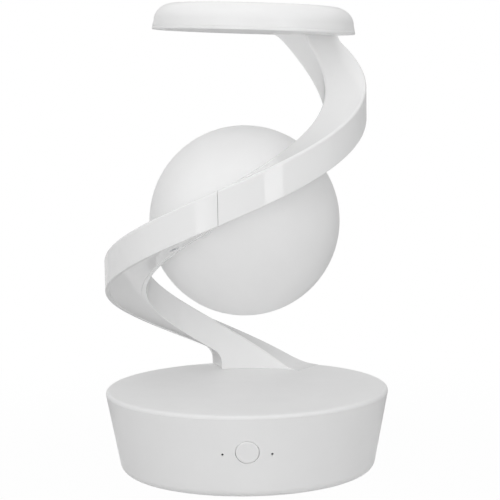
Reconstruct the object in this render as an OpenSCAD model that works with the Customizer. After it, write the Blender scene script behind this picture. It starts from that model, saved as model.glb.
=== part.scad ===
// Table lamp: a globe held in a rising spiral arm between a round base and a round head.
// Millimetres, +Z up, the front with the button faces -Y. The origin is on the floor, on the base's axis.
// Angles along the arm run anticlockwise seen from above, from +X, and go past 360.

/* [Base] */
// How far the rim of the base stands outside the arm
rim_margin = 1.1; // [0.5:0.1:4]
// How much the radius of the base shrinks from its rim to its underside
base_draft = 7.1; // [3:0.1:9]
// Height of the base, without its feet
base_h = 37.3; // [35:0.1:45]
// Thickness of the base's wall
base_wall = 2.4; // [2.2:0.1:2.8]
// Rounding of the base's lower edge
base_round = 4.5; // [3:0.25:5]
// Height of the edge of the deck that shows above the wall
deck_edge = 1.5; // [1.2:0.1:2]
// Thickness of the deck
deck_t = 2.4; // [2:0.1:3]
// Rounding of the deck's edge
deck_round = 1; // [0.6:0.1:1.1]

/* [Underside] */
// Distance of the bottom cover's edge from the base's lower edge
cover_inset = 6.9; // [6:0.1:10]
// Thickness of the bottom cover
cover_t = 3; // [2.6:0.1:3.5]
// Height of the rubber feet below the base
foot_h = 1.2; // [0.5:0.1:2]
// Radius of each rubber foot
foot_pad_r = 5.5; // [4:0.25:6.5]
// Distance of the feet and the cover's screws from the cover's edge
foot_inset = 9; // [8:0.25:12]
// Height of the steel weight
ballast_h = 9; // [5:0.5:12]

/* [Button] */
// Radius of the button
button_r = 5; // [4.5:0.1:5.5]
// Gap all round the button
button_gap = 0.25; // [0.15:0.05:0.4]
// Height of the button's centre above the floor
button_z = 22.1; // [20:0.1:24]
// How far the button stands out of the wall
button_proud = 0.3; // [0:0.1:0.8]
// How far the button travels when pressed
button_travel = 0.6; // [0.3:0.05:0.8]
// Radius of the two indicator dots
dot_r = 0.5; // [0.4:0.05:0.8]
// Distance of each dot from the button's centre, sideways
dot_reach = 10.6; // [10:0.1:11.2]
// How far the dots lie below the button's centre
dot_drop = 1.25; // [0:0.25:2]

/* [Arm] */
// Width of the arm, from its inner to its outer face
arm_w = 18.6; // [17.6:0.1:18.8]
// Height of the arm's band
arm_h = 15; // [14:0.25:16]
// Angle at which the line of the arm's even spiral leaves the deck
arm_start = 57; // [55:0.5:59]
// How far the arm's foot starts below the even spiral
foot_dip = 3.4; // [2.5:0.1:4]
// How strongly the arm swells above the even spiral after its foot
foot_swell = 11.5; // [9:0.5:13]
// Angle of the upright end face of the arm's foot
heel_at = 105.5; // [104:0.5:108]
// Radius of the hollow between that end face and the arm's underside
heel_r = 4; // [3:0.25:5]
// Angle at which the arm's top face reaches the head
toe_at = 401.3; // [398:0.1:406]
// Angle of the seam between the two halves of the arm
seam_at = 259.8; // [258:0.1:262]
// Angle from which the arm draws in towards the head
taper_from = 240; // [236:1:244]
// Angle at which the arm has drawn in fully
taper_to = 418; // [414:1:422]
// How far the circle of the arm's end lies inside the head's radius
toe_inset = 1.6; // [1:0.1:2.4]
// How far the centre of that circle stands off the head's axis, to the right
toe_shift = 2.9; // [2:0.1:3.4]
// Thickness of the arm's side walls
arm_wall = 2; // [1.8:0.1:2.2]
// Thickness of the arm's top wall
arm_roof = 2.6; // [2.4:0.1:3]
// Rounding of the arm's upper edges
arm_round = 1.2; // [0.6:0.1:1.6]
// Thickness of the strips that close the arm from below
strip_t = 2.4; // [2.2:0.1:2.6]
// How far the strips lie inside the arm's lower edges
strip_inset = 0.2; // [0.1:0.1:0.6]

/* [Globe] */
// Radius of the globe
globe_r = 43.2; // [40:0.1:50]
// Thickness of the globe's wall
globe_t = 1.8; // [1.4:0.1:2.4]
// Clear gap between the globe and the arm
globe_gap = 2.1; // [1.5:0.1:4]
// Clear height between the deck and the globe
deck_gap = 33.5; // [30:0.1:38]
// Clear height between the globe and the head
head_gap = 41.7; // [38:0.1:46]
// Angle at which the globe's stem meets the arm
stem_at = 243; // [242:0.5:244]
// Radius of the hole for the plug in the globe
neck_r = 6.2; // [5.8:0.1:6.4]

/* [Head] */
// Radius of the head
head_r = 45.6; // [45:0.1:46.5]
// Height of the head
head_h = 12; // [11.8:0.1:14]
// How far the head stands off the base's axis, to the right
head_shift = 5.2; // [4.6:0.1:6]
// Lean of the head to the right, in degrees
head_lean = 2.4; // [1:0.1:2.6]
// Height of the tray's edge that shows below the cap
tray_edge = 1.3; // [1:0.1:1.6]
// Width of the rounded crown of the cap
crown_w = 9.4; // [8.5:0.1:11]
// Height of the rounded crown of the cap
crown_h = 7.9; // [6:0.1:8.2]
// Thickness of the cap's wall
cap_wall = 2; // [1.6:0.1:2.2]

/* [Fits] */
// Clearance between parts that are put together and stay
fit = 0.15; // [0.1:0.05:0.2]
// Gap that shows at the seam of the arm
seam_gap = 0.2; // [0.15:0.05:0.4]
// Diameter of the two leads in the arm
lead_d = 1.8; // [1.4:0.1:2]

/* [Hidden] */
$fn = 96;

white_gloss = "#f4f4f2";
white_matte = "#ececea";
steel = "#b8bbbf";
board_green = "#2f6b4a";
dark = "#26282b";
copper = "#b87333";

// The globe sets the arm's radius and rise, and the arm sets the base's radius
overlap = 0.5;
globe_lift = deck_gap + globe_r;
head_lift = globe_lift + globe_r + head_gap;
arm_r = globe_r + globe_gap;
arm_pitch = head_lift / (toe_at - arm_start);
base_r = arm_r + arm_w + rim_margin;
base_r_low = base_r - base_draft;
cover_r = base_r_low - cover_inset;
foot_ring_r = cover_r - foot_inset;

// Heights and slopes of the base
deck_z = foot_h + base_h;
rim_z = deck_z - deck_edge;
floor_z = foot_h + cover_t;
base_slope = atan((base_r - base_r_low) / base_h);
function wall_r(z) = base_r_low + (base_r - base_r_low) * (z - foot_h) / base_h;

// Points of a round stretch about a centre, from one angle to another
function arc(centre, radii, from, to, steps) = [
    for (i = [0 : steps])
        let (t = from + (to - from) * i / steps)
            [centre[0] + radii[0] * cos(t), centre[1] + radii[1] * sin(t)]
];

// Course of the arm: its inner radius, the drift of its centre and its heights at an angle
arm_mid_r = arm_r + arm_w / 2;
soft_end = 1.2;
heel_a = heel_r / arm_mid_r * 180 / PI;
seam_half_a = seam_gap / 2 / arm_mid_r * 180 / PI;
function ramp(a) =
    let (u = min(1, max(0, (a - taper_from) / (taper_to - taper_from))))
        u * u * (3 - 2 * u);
function arm_in(a) = arm_r + (head_r - toe_inset - arm_w - arm_r) * ramp(a);
function arm_x(a, across) = (head_shift + toe_shift) * ramp(a) + (arm_in(a) + across) * cos(a);
function arm_y(a, across) = (arm_in(a) + across) * sin(a);
function arm_point(a, across, z) = [arm_x(a, across), arm_y(a, across), z];
settle_a = 200;
function settle(a) =
    let (u = min(1, (a - arm_start) / settle_a))
        (1 - u) ^ 2 * (foot_swell * u - foot_dip);
function helix(a) = deck_z + arm_pitch * (a - arm_start) + settle(a);
function under(a) = helix(a) - arm_h;
// Runs along u where u is large and eases to nothing where it falls below zero
function eased(u) = soft_end * ln(1 + exp(u / soft_end));

// The head's underside, a plane that leans, and the arm's top and bottom where it runs into plane or deck
tray_z = deck_z + head_lift;
function tray_low(x) = tray_z - (x - head_shift) * tan(head_lean);
function heel(a) =
    let (u = max(0, 1 - (a - heel_at) / heel_a))
        heel_r * (1 - sqrt(max(0, 1 - u * u)));
function lower_high(a) = deck_z + eased(helix(a) - deck_z);
function lower_low(a) = a < heel_at ? deck_z : under(a) - heel(a);
function toe(a) =
    let (u = min(1, max(0, (a - toe_from) / toe_a)))
        heel_r * (1 - sqrt(1 - u * u));
function upper_high(a, x) = min(helix(a) + toe(a), tray_low(x) - fit / 10);
function upper_low(a, x) = tray_low(x) - fit / 10 - eased(tray_low(x) - under(a));
toe_a = 2 * heel_a;
toe_from = toe_at - toe_a - heel_a;
tail_a = 3 * soft_end / arm_pitch;
lower_from = arm_start + foot_dip / arm_pitch - tail_a;
upper_to = toe_at + arm_h / arm_pitch + tail_a / 2;
ring_step = 4;
lower_angles = concat(
    [for (a = [lower_from : ring_step : heel_at - 1]) a],
    [heel_at - 0.1],
    [for (u = [0 : 0.2 : 0.9]) heel_at + u * heel_a],
    [for (a = [heel_at + heel_a : ring_step : seam_at - ring_step / 2]) a],
    [seam_at - seam_half_a]
);
upper_angles = concat(
    [for (a = [seam_at + seam_half_a : ring_step : toe_from - 1]) a],
    [for (a = [toe_from : ring_step / 2 : upper_to]) a]
);

// Outline of the arm's hollow section at an angle; the channel below its roof closes where the arm is thin
sliver = 0.1;
round_steps = 3;
function shell_ring(a, low, high, edge) =
    let (
        mid = arm_x(a, arm_w / 2),
        room = high(a, mid) - low(a, mid),
        e = max(sliver, min(edge(a), room / 3)),
        near = [for (i = [0 : round_steps]) let (t = 90 * i / round_steps) [e - e * cos(t), e - e * sin(t)]],
        far = [for (i = [round_steps : -1 : 0]) [arm_w - near[i][0], near[i][1]]],
        top = [for (p = concat(near, far)) [p[0], high(a, arm_x(a, p[0])) - p[1]]],
        roof_at = [arm_w - arm_wall, arm_wall],
        roof = [
            for (s = roof_at)
                let (x = arm_x(a, s))
                    [s, max(low(a, x) + sliver, high(a, x) - arm_roof)]
        ],
        foot = [for (s = [0, arm_w, arm_w - arm_wall, arm_wall]) [s, low(a, arm_x(a, s))]],
        outline = concat([foot[1], foot[2]], roof, [foot[3], foot[0]], top)
    )
        [for (p = outline) arm_point(a, p[0], p[1])];

// Outline of a flat bar in the arm's channel, between two heights
bar_near = arm_wall + fit;
bar_far = arm_w - arm_wall - fit;
function bar_ring(a, low, high) = [
    for (p = [[bar_near, low], [bar_near, high], [bar_far, high], [bar_far, low]])
        arm_point(a, p[0], p[1])
];

// A closed skin over a row of like outlines
module sweep(rings) {
    n = len(rings[0]);
    m = len(rings);
    sides = [
        for (i = [0 : m - 2], j = [0 : n - 1])
            let (a = i * n + j, b = i * n + (j + 1) % n)
                each [[a, a + n, b + n], [a, b + n, b]]
    ];
    first = [for (j = [0 : n - 1]) j];
    last = [for (j = [0 : n - 1]) m * n - 1 - j];
    polyhedron(points = [for (r = rings) each r], faces = concat([first, last], sides));
}

// A cross-head screw that points along +Z, with the seat of its head at z = 0
module screw(shank_r, length, head_r, head_t) {
    slot_w = head_r * 0.35;
    slot_l = head_r * 1.3;
    slot_depth = head_t * 0.5;
    difference() {
        union() {
            cylinder(r = shank_r, h = length);
            translate([0, 0, -head_t]) cylinder(r = head_r, h = head_t);
        }
        for (turn = [0, 90])
            rotate([0, 0, turn])
                translate([-slot_l / 2, -slot_w / 2, -head_t - overlap])
                    cube([slot_l, slot_w, slot_depth + overlap]);
    }
}

// Places of the screws: on the cover, on the arm and in the head
diagonals = [45, 135, 225, 315];
cover_screw_r = 1.5;
cover_head_r = 2.8;
cover_head_t = 1.6;
cover_screw_len = 12;
cover_boss_r = 3.6;
screw_r = 1.2;
screw_head_r = 2.2;
screw_head_t = 1.3;
short_screw_len = 6;
cap_screw_len = 7;
foot_pilot_len = 8;
pilot_r = screw_r + fit / 3;
pilot_floor = 1;
pilot_spare = 0.75;
boss_r = 2.4;
boss_skin = 0.25;
screw_across = 6.4;
foot_screw_at = [heel_at - 29, heel_at - 8];
strip_screw_at = [seam_at - 26.9, seam_at + 26.9, seam_at + 120];
splice_half_a = 9;
splice_screw_at = [seam_at - 5, seam_at + 5];
tray_screw_at = [toe_at + 2, toe_at + 16];
head_screw_at = [130, 240, 340];
head_screw_r = head_r - 10;
// Slope of the arm at its line of screws, and the foot's bosses, which end just below its sloping top face
function slope(a) = atan((helix(a + 1) - helix(a - 1)) / 2 * 180 / PI / (arm_in(a) + screw_across));
function boss_top(a) = helix(a) - boss_r * tan(slope(a)) - boss_skin;
function foot_pilot(a) = min(foot_pilot_len, boss_top(a) - deck_z - boss_skin);

// A frame on the arm's line of screws at a height, with +Z square to the slope
module on_slope(a, z) {
    translate(arm_point(a, screw_across, z)) rotate([slope(a), 0, a]) children();
}

// Inside of the arm: the strips and their screws, the splice and the leads
function strip_top(a) = under(a) + strip_inset + strip_t;
channel_h = arm_h - arm_roof - strip_t - strip_inset;
strip_floor = 0.7;
splice_t = 4;
splice_seat = 2;
function splice_top(a) = helix(a) - arm_roof - fit;
lead_r = lead_d / 2;
head_lead_gap = 1.5;
globe_lead_gap = 3.7;
globe_lead_across = arm_w - arm_wall - lead_r - globe_lead_gap;
head_lead_across = arm_w - arm_wall - lead_r - head_lead_gap;
lead_hole_at = heel_at - 18;
lead_hole_r = 3.4;
lead_spread_a = 1.5;
lead_hole_across = (globe_lead_across + head_lead_across) / 2;
head_hole_at = toe_at + 9;
head_hole_r = 1.8;
lead_entry_z = deck_z + 9;
lead_free_to = heel_at + heel_a;
function lead_rest(a) = strip_top(a) + lead_r + fit;
function lead_z(a) =
    let (u = min(1, (a - lead_hole_at) / (lead_free_to - lead_hole_at)))
        u == 1 ? lead_rest(a) : lead_entry_z + (lead_rest(lead_free_to) - lead_entry_z) * u;

// The globe's stem: a line from the globe's centre to the middle of the arm's channel
globe_z = deck_z + globe_lift;
stem_mid_z = (strip_top(stem_at) + helix(stem_at) - arm_roof) / 2;
stem_rise = atan((stem_mid_z - globe_z) / (arm_in(stem_at) + arm_wall));
nipple_r = 2.2;
nipple_bore_r = 1.2;
nut_flats = 6.6;
nut_t = 4;
plug_lip = 0.5;
plug_depth = 9;
nipple_in = globe_r - 6;
nipple_out = arm_in(stem_at) + 9;
nut_tilt = nut_flats / 2 * tan(abs(stem_rise));
nut_seat = (arm_in(stem_at) + arm_wall) / cos(stem_rise) + nut_tilt + fit;
lamp_board_t = 1.6;
lamp_board_z = globe_r - plug_depth - lamp_board_t;

module at_stem() {
    translate([0, 0, globe_z]) rotate([0, 90 - stem_rise, stem_at]) children();
}

// Inside of the head, from the tray upwards, and the bosses in the arm below the tray
tray_t = 2.2;
tray_boss_h = 8;
charger_board_r = 27;
charger_board_t = 1.2;
charger_board_z = tray_t + 2.6;
charger_pin_ring = charger_board_r - 4;
charger_pin_at = [90, 210, 330];
charger_pin_r = 1.1;
coil_t = 1.4;
coil_in = 11;
coil_out = 23;
ferrite_t = 1;
ceiling = head_h - cap_wall;
function tray_seat(a) = tray_low(arm_x(a, screw_across));
function tray_boss_low(a) = max(strip_top(a) + boss_r * tan(slope(a)) + fit, tray_seat(a) - tray_boss_h);

module at_head() {
    translate([head_shift, 0, tray_z]) rotate([0, head_lean, 0]) children();
}

// The button's frame: +Z points out of the wall, and z = 0 is the wall's outer face
module at_button() {
    translate([0, -wall_r(button_z), button_z]) rotate([90 + base_slope, 0, 0]) children();
}

// Depths behind the wall's outer face in the button's frame
collar_depth = base_wall + 1.2;
collar_r = button_r + 3;
flange_t = 1.2;
flange_r = button_r + 1.2;
button_tip = collar_depth + flange_t + 1.7;
plunger_r = 1.6;
plunger_len = 2.7;
switch_top = button_tip + 1.4;
switch_w = 6;
switch_h = 3.5;
button_board_z = switch_top + switch_h;
button_board_t = 1.6;
button_board_size = [38, 12];
post_reach = 15.5;
post_r = 2.6;
pipe_r = 1.5;
led_t = 1.1;
function bulge(x) = wall_r(button_z) - sqrt(wall_r(button_z) ^ 2 - x ^ 2);

// The main board and the inlet at its rear edge
board_size = [36, 46, 1.6];
board_gap = 6.15;
board_z = floor_z + 6;
board_top = board_z + board_size[2];
standoff_r = 2.6;
inlet_w = 8.94;
inlet_h = 3.2;
inlet_wall = 0.3;
inlet_len = 8.6;
inlet_back = 1.5;
inlet_play = 0.3;
inlet_sunk = 0.6;
inlet_z = board_top + inlet_h / 2;
inlet_front = wall_r(inlet_z) - inlet_sunk;
board_y = inlet_front - board_gap - board_size[1];
standoff_x = board_size[0] / 2 - 3;
standoff_y = [board_y + 4, board_y + board_size[1] - 14];
standoff_places = [for (x = [-1, 1], y = standoff_y) [x * standoff_x, y]];
lead_socket = [5, 5, 6];
lead_socket_y = board_y + 28;
lead_socket_x = [-6, 6];

// The bottom cover's recesses for the feet, and its pegs in the weight
pad_recess = 0.6;
peg_r = 2;
peg_h = 6;
peg_places = [[-14, -12], [14, -12]];

// A round lead along a path; the ring at each point keeps the turn of the one before it
lead_sides = 8;
lead_step_a = 5;
lead_turn_below = 4;
function unit(v) = v / norm(v);
function heading(path, i) =
    i == 0
        ? unit(path[1] - path[0])
        : i == len(path) - 1
            ? unit(path[i] - path[i - 1])
            : unit(unit(path[i + 1] - path[i]) + unit(path[i] - path[i - 1]));
function upright(n, t) = unit(n - (n * t) * t);
function normals(path) = [
    for (
        i = 0, n = upright([1, 0, 0], heading(path, 0));
        i < len(path);
        i = i + 1, n = i < len(path) ? upright(n, heading(path, i)) : n
    ) n
];

// The way of a lead from its socket on the main board, up through the deck, and along the arm's channel
function lead_way(socket_x, across, from, to) =
    let (
        turn_z = deck_z - deck_t - lead_turn_below,
        socket = [socket_x, lead_socket_y, board_top + lead_socket[2]],
        below = [socket_x, lead_socket_y, turn_z],
        steps = ceil((to - from) / lead_step_a),
        run = [
            for (i = [0 : steps])
                let (a = from + (to - from) * i / steps)
                    arm_point(a, across, lead_z(a))
        ]
    )
        concat([socket, below, arm_point(from, across, turn_z)], run);

module lead(path) {
    up = normals(path);
    sweep([
        for (i = [0 : len(path) - 1])
            let (side = cross(heading(path, i), up[i]))
                [
                    for (k = [0 : lead_sides - 1])
                        let (t = 360 * k / lead_sides)
                            path[i] + lead_r * (cos(t) * up[i] + sin(t) * side)
                ]
    ]);
}

// A round-ended slot of a given width and height
module slot(w, h) {
    square([w - h, h], center = true);
    for (side = [-1, 1])
        translate([side * (w - h) / 2, 0])
            circle(d = h);
}

module base_shell() {
    flange_top = floor_z + 2;
    flange_in = cover_r - 3;
    tangent = base_round / tan((90 + base_slope) / 2);
    profile = concat(
        [[cover_r + fit, foot_h]],
        arc([base_r_low - tangent, foot_h + base_round], [base_round, base_round], -90, -base_slope, 6),
        [
            [wall_r(rim_z), rim_z],
            [wall_r(rim_z) - base_wall, rim_z],
            [wall_r(flange_top) - base_wall, flange_top],
            [flange_in, flange_top],
            [flange_in, floor_z],
            [cover_r + fit, floor_z]
        ]
    );
    color(white_matte)
        difference() {
            union() {
                rotate_extrude() polygon(profile);
                at_button() {
                    translate([0, 0, -collar_depth])
                        cylinder(r = collar_r, h = collar_depth - base_wall / 2);
                    for (side = [-1, 1])
                        translate([side * post_reach, 0, -button_board_z])
                            cylinder(r = post_r, h = button_board_z - bulge(post_reach) - base_wall * 0.6);
                }
            }
            at_button() {
                translate([0, 0, -collar_depth - overlap])
                    cylinder(r = button_r + button_gap, h = collar_depth + 2 * overlap);
                for (side = [-1, 1]) {
                    translate([side * dot_reach, -dot_drop, -2 * collar_depth])
                        cylinder(r = dot_r + fit / 3, h = 3 * collar_depth);
                    translate([side * post_reach, 0, -button_board_z - overlap])
                        cylinder(r = pilot_r, h = short_screw_len);
                }
            }
            translate([0, base_r, inlet_z])
                rotate([90, 0, 0])
                    linear_extrude(2 * (base_r - base_r_low) + 2 * base_wall)
                        slot(inlet_w + 2 * inlet_play, inlet_h + 2 * inlet_play);
        }
}

module deck() {
    ring_depth = 3;
    ring_t = 2;
    ring_top = wall_r(rim_z) - base_wall - fit;
    ring_low = wall_r(rim_z - ring_depth) - base_wall - fit;
    profile = concat(
        [[0, deck_z - deck_t], [ring_low - ring_t, deck_z - deck_t], [ring_low - ring_t, rim_z - ring_depth]],
        [[ring_low, rim_z - ring_depth], [ring_top, rim_z], [wall_r(rim_z), rim_z]],
        arc([base_r - deck_round, deck_z - deck_round], [deck_round, deck_round], 0, 90, 5),
        [[0, deck_z]]
    );
    color(white_matte)
        difference() {
            union() {
                rotate_extrude() polygon(profile);
                for (a = diagonals)
                    rotate([0, 0, a])
                        translate([foot_ring_r, 0, floor_z])
                            cylinder(r = cover_boss_r, h = deck_z - deck_t - floor_z + overlap);
            }
            for (a = diagonals)
                rotate([0, 0, a])
                    translate([foot_ring_r, 0, floor_z - overlap])
                        cylinder(r = cover_screw_r + fit / 3, h = cover_screw_len + overlap);
            for (a = foot_screw_at)
                translate(arm_point(a, screw_across, deck_z - deck_t - overlap))
                    cylinder(r = screw_r + fit, h = deck_t + 2 * overlap);
            translate(arm_point(lead_hole_at, lead_hole_across, deck_z - deck_t - 2 * ring_depth))
                cylinder(r = lead_hole_r, h = deck_t + 2 * ring_depth + overlap);
        }
}

module bottom_cover() {
    color(white_matte)
        difference() {
            union() {
                translate([0, 0, foot_h]) cylinder(r = cover_r, h = cover_t);
                for (p = standoff_places)
                    translate([p[0], p[1], floor_z - overlap])
                        cylinder(r = standoff_r, h = board_z - floor_z + overlap);
                for (p = peg_places)
                    translate([p[0], p[1], floor_z - overlap])
                        cylinder(r = peg_r, h = min(peg_h, ballast_h) + overlap);
            }
            for (i = [0 : 3]) {
                rotate([0, 0, diagonals[i]]) translate([foot_ring_r, 0, foot_h - overlap]) {
                    cylinder(r = cover_screw_r + fit, h = cover_t + 2 * overlap);
                    cylinder(r = cover_head_r + fit, h = cover_head_t + fit + overlap);
                }
                rotate([0, 0, 90 * i])
                    translate([foot_ring_r, 0, foot_h - overlap])
                        cylinder(r = foot_pad_r + fit, h = pad_recess + overlap);
            }
            for (p = standoff_places)
                translate([p[0], p[1], floor_z + pilot_floor])
                    cylinder(r = pilot_r, h = board_z - floor_z);
        }
}

module foot_pads() {
    chamfer = 0.4;
    color(dark)
        for (i = [0 : 3])
            rotate([0, 0, 90 * i])
                translate([foot_ring_r, 0, 0])
                    rotate_extrude()
                        polygon([
                            [0, 0], [foot_pad_r - chamfer, 0], [foot_pad_r, chamfer],
                            [foot_pad_r, foot_h + pad_recess], [0, foot_h + pad_recess]
                        ]);
}

module cover_screws() {
    color(steel)
        for (a = diagonals)
            rotate([0, 0, a])
                translate([foot_ring_r, 0, foot_h + cover_head_t + fit])
                    screw(cover_screw_r, cover_screw_len, cover_head_r, cover_head_t);
}

module ballast_plate() {
    plate_r = cover_r - 5;
    board_clear = 4;
    color(steel)
        translate([0, 0, floor_z])
            linear_extrude(ballast_h)
                difference() {
                    intersection() {
                        circle(r = plate_r);
                        translate([-plate_r, -plate_r])
                            square([2 * plate_r, plate_r + board_y - board_clear]);
                    }
                    for (a = [diagonals[2], diagonals[3]])
                        rotate(a) translate([foot_ring_r, 0]) circle(r = cover_boss_r + 1);
                    for (p = peg_places)
                        translate(p) circle(r = peg_r + fit);
                }
}

module main_board() {
    color(board_green)
        difference() {
            translate([-board_size[0] / 2, board_y, board_z]) cube(board_size);
            for (p = standoff_places)
                translate([p[0], p[1], board_z - overlap])
                    cylinder(r = screw_r + fit, h = board_size[2] + 2 * overlap);
        }
}

module board_parts() {
    choke = [8, 8, 4];
    controller = [6, 6, 1.2];
    regulator = [8, 4, 1.2];
    capacitor_r = 3.2;
    capacitor_h = 8;
    color(dark)
        translate([0, 0, board_top]) {
            for (x = lead_socket_x)
                translate([x - lead_socket[0] / 2, lead_socket_y - lead_socket[1] / 2, 0])
                    cube(lead_socket);
            translate([-12, board_y + 12, 0]) cube(choke);
            translate([7, board_y + 16, 0]) cylinder(r = capacitor_r, h = capacitor_h);
            translate([-controller[0] / 2, board_y + 4, 0]) cube(controller);
            translate([-regulator[0] / 2, board_y + 36, 0]) cube(regulator);
        }
}

module board_screws() {
    color(steel)
        for (p = standoff_places)
            translate([p[0], p[1], board_top])
                rotate([180, 0, 0])
                    screw(screw_r, short_screw_len, screw_head_r, screw_head_t);
}

module usb_inlet() {
    tongue = [6.6, 0.7];
    tongue_sunk = 1;
    color(steel)
        translate([0, inlet_front, inlet_z])
            rotate([90, 0, 0]) {
                linear_extrude(inlet_len - inlet_back + overlap)
                    difference() {
                        slot(inlet_w, inlet_h);
                        slot(inlet_w - 2 * inlet_wall, inlet_h - 2 * inlet_wall);
                    }
                translate([0, 0, inlet_len - inlet_back]) linear_extrude(inlet_back) slot(inlet_w, inlet_h);
                translate([-tongue[0] / 2, -tongue[1] / 2, tongue_sunk])
                    cube([tongue[0], tongue[1], inlet_len - inlet_back - tongue_sunk + overlap]);
            }
}

module button_board() {
    color(board_green)
        at_button()
            translate([0, 0, -button_board_z - button_board_t])
                linear_extrude(button_board_t)
                    difference() {
                        square(button_board_size, center = true);
                        for (side = [-1, 1])
                            translate([side * post_reach, 0]) circle(r = screw_r + fit);
                    }
}

module button_board_screws() {
    color(steel)
        at_button()
            for (side = [-1, 1])
                translate([side * post_reach, 0, -button_board_z - button_board_t])
                    screw(screw_r, short_screw_len, screw_head_r, screw_head_t);
}

module switch_body() {
    bore_depth = plunger_len - (switch_top - button_tip) + button_travel + 0.3;
    color(dark)
        at_button()
            difference() {
                translate([-switch_w / 2, -switch_w / 2, -button_board_z])
                    cube([switch_w, switch_w, switch_h]);
                translate([0, 0, -switch_top - bore_depth])
                    cylinder(r = plunger_r + fit, h = bore_depth + overlap);
            }
}

module switch_plunger() {
    color(dark)
        at_button()
            translate([0, 0, -button_tip - plunger_len])
                cylinder(r = plunger_r, h = plunger_len);
}

module power_button() {
    crown = 0.6;
    stem_r = 1.5;
    seat = collar_depth + fit / 3;
    profile = concat(
        [[0, -button_tip], [stem_r, -button_tip], [stem_r, -seat - flange_t], [flange_r, -seat - flange_t]],
        [[flange_r, -seat], [button_r, -seat]],
        arc([button_r - crown, button_proud - crown], [crown, crown], 0, 90, 5),
        [[0, button_proud]]
    );
    color(white_gloss)
        at_button()
            rotate_extrude() polygon(profile);
}

module light_pipes() {
    pipe_back = button_board_z - led_t - fit;
    pipe_front = bulge(dot_reach + pipe_r) + base_wall + 1;
    tip = bulge(dot_reach) + 0.4;
    color(dark)
        at_button()
            for (side = [-1, 1])
                translate([side * dot_reach, -dot_drop, -pipe_back]) {
                    cylinder(r = pipe_r, h = pipe_back - pipe_front);
                    cylinder(r = dot_r, h = pipe_back - tip);
                }
}

module indicator_leds() {
    led = [2, 1.2, led_t];
    color(white_gloss)
        at_button()
            for (side = [-1, 1])
                translate([side * dot_reach - led[0] / 2, -dot_drop - led[1] / 2, -button_board_z])
                    cube(led);
}

// Bosses under the arm's roof for the strips' screws, their pilot holes, and those of the splice's screws
module strip_boss(a) {
    on_slope(a, strip_top(a))
        translate([0, 0, fit])
            cylinder(r = boss_r, h = channel_h * cos(slope(a)) + arm_roof * 0.4);
}

module strip_pilot(a) {
    on_slope(a, strip_top(a))
        translate([0, 0, -overlap])
            cylinder(r = pilot_r, h = short_screw_len + overlap);
}

// A strip's screw hole, sunk for the head from below
module strip_hole(a) {
    sink = strip_t + strip_inset + 3;
    on_slope(a, strip_top(a))
        translate([0, 0, -sink]) {
            cylinder(r = screw_r + fit, h = sink + overlap);
            cylinder(r = screw_head_r + fit, h = sink - strip_floor);
        }
}

module splice_pilot(a) {
    on_slope(a, splice_top(a))
        translate([0, 0, -overlap])
            cylinder(r = pilot_r, h = arm_roof * 0.6 + fit + overlap);
}

module lower_arm() {
    low = function (a, x) lower_low(a);
    high = function (a, x) lower_high(a);
    edge = function (a) arm_round;
    color(white_gloss)
        difference() {
            union() {
                sweep([for (a = lower_angles) shell_ring(a, low, high, edge)]);
                for (a = foot_screw_at)
                    translate(arm_point(a, screw_across, deck_z))
                        cylinder(r = boss_r, h = boss_top(a) - deck_z);
                strip_boss(strip_screw_at[0]);
            }
            for (a = foot_screw_at)
                translate(arm_point(a, screw_across, deck_z - overlap))
                    cylinder(r = pilot_r, h = foot_pilot(a) + overlap);
            strip_pilot(strip_screw_at[0]);
            splice_pilot(splice_screw_at[0]);
            at_stem() cylinder(r = nipple_r + fit, h = nut_seat + overlap);
        }
}

// The strip that closes the lower half from below starts with the upright end wall of the arm's foot
module lower_strip() {
    wall_a = strip_t / arm_mid_r * 180 / PI;
    inset_a = strip_inset / arm_mid_r * 180 / PI;
    wall_at = [heel_at - wall_a - inset_a, heel_at - inset_a];
    wall_top = lower_low(heel_at) + strip_inset + strip_t;
    angles = [for (a = lower_angles) if (a >= heel_at) a];
    color(white_gloss)
        difference() {
            sweep(concat(
                [for (a = wall_at) bar_ring(a, deck_z + fit, wall_top)],
                [
                    for (a = angles)
                        bar_ring(a, lower_low(a) + strip_inset, lower_low(a) + strip_inset + strip_t)
                ]
            ));
            strip_hole(strip_screw_at[0]);
        }
}

module foot_screws() {
    color(steel)
        for (a = foot_screw_at)
            translate(arm_point(a, screw_across, deck_z - deck_t))
                screw(screw_r, deck_t + foot_pilot(a) - pilot_spare, screw_head_r, screw_head_t);
}

module arm_splice() {
    angles = [for (i = [0 : 6]) seam_at + splice_half_a * (i / 3 - 1)];
    color(dark)
        difference() {
            sweep([for (a = angles) bar_ring(a, splice_top(a) - splice_t, splice_top(a))]);
            for (a = splice_screw_at)
                on_slope(a, splice_top(a)) translate([0, 0, -2 * splice_t]) {
                    cylinder(r = screw_r + fit, h = 3 * splice_t);
                    cylinder(r = screw_head_r + fit, h = 2 * splice_t - splice_seat);
                }
        }
}

module splice_screws() {
    color(steel)
        for (a = splice_screw_at)
            on_slope(a, splice_top(a))
                translate([0, 0, -splice_seat])
                    screw(screw_r, splice_seat + arm_roof * 0.5, screw_head_r, screw_head_t);
}

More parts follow.
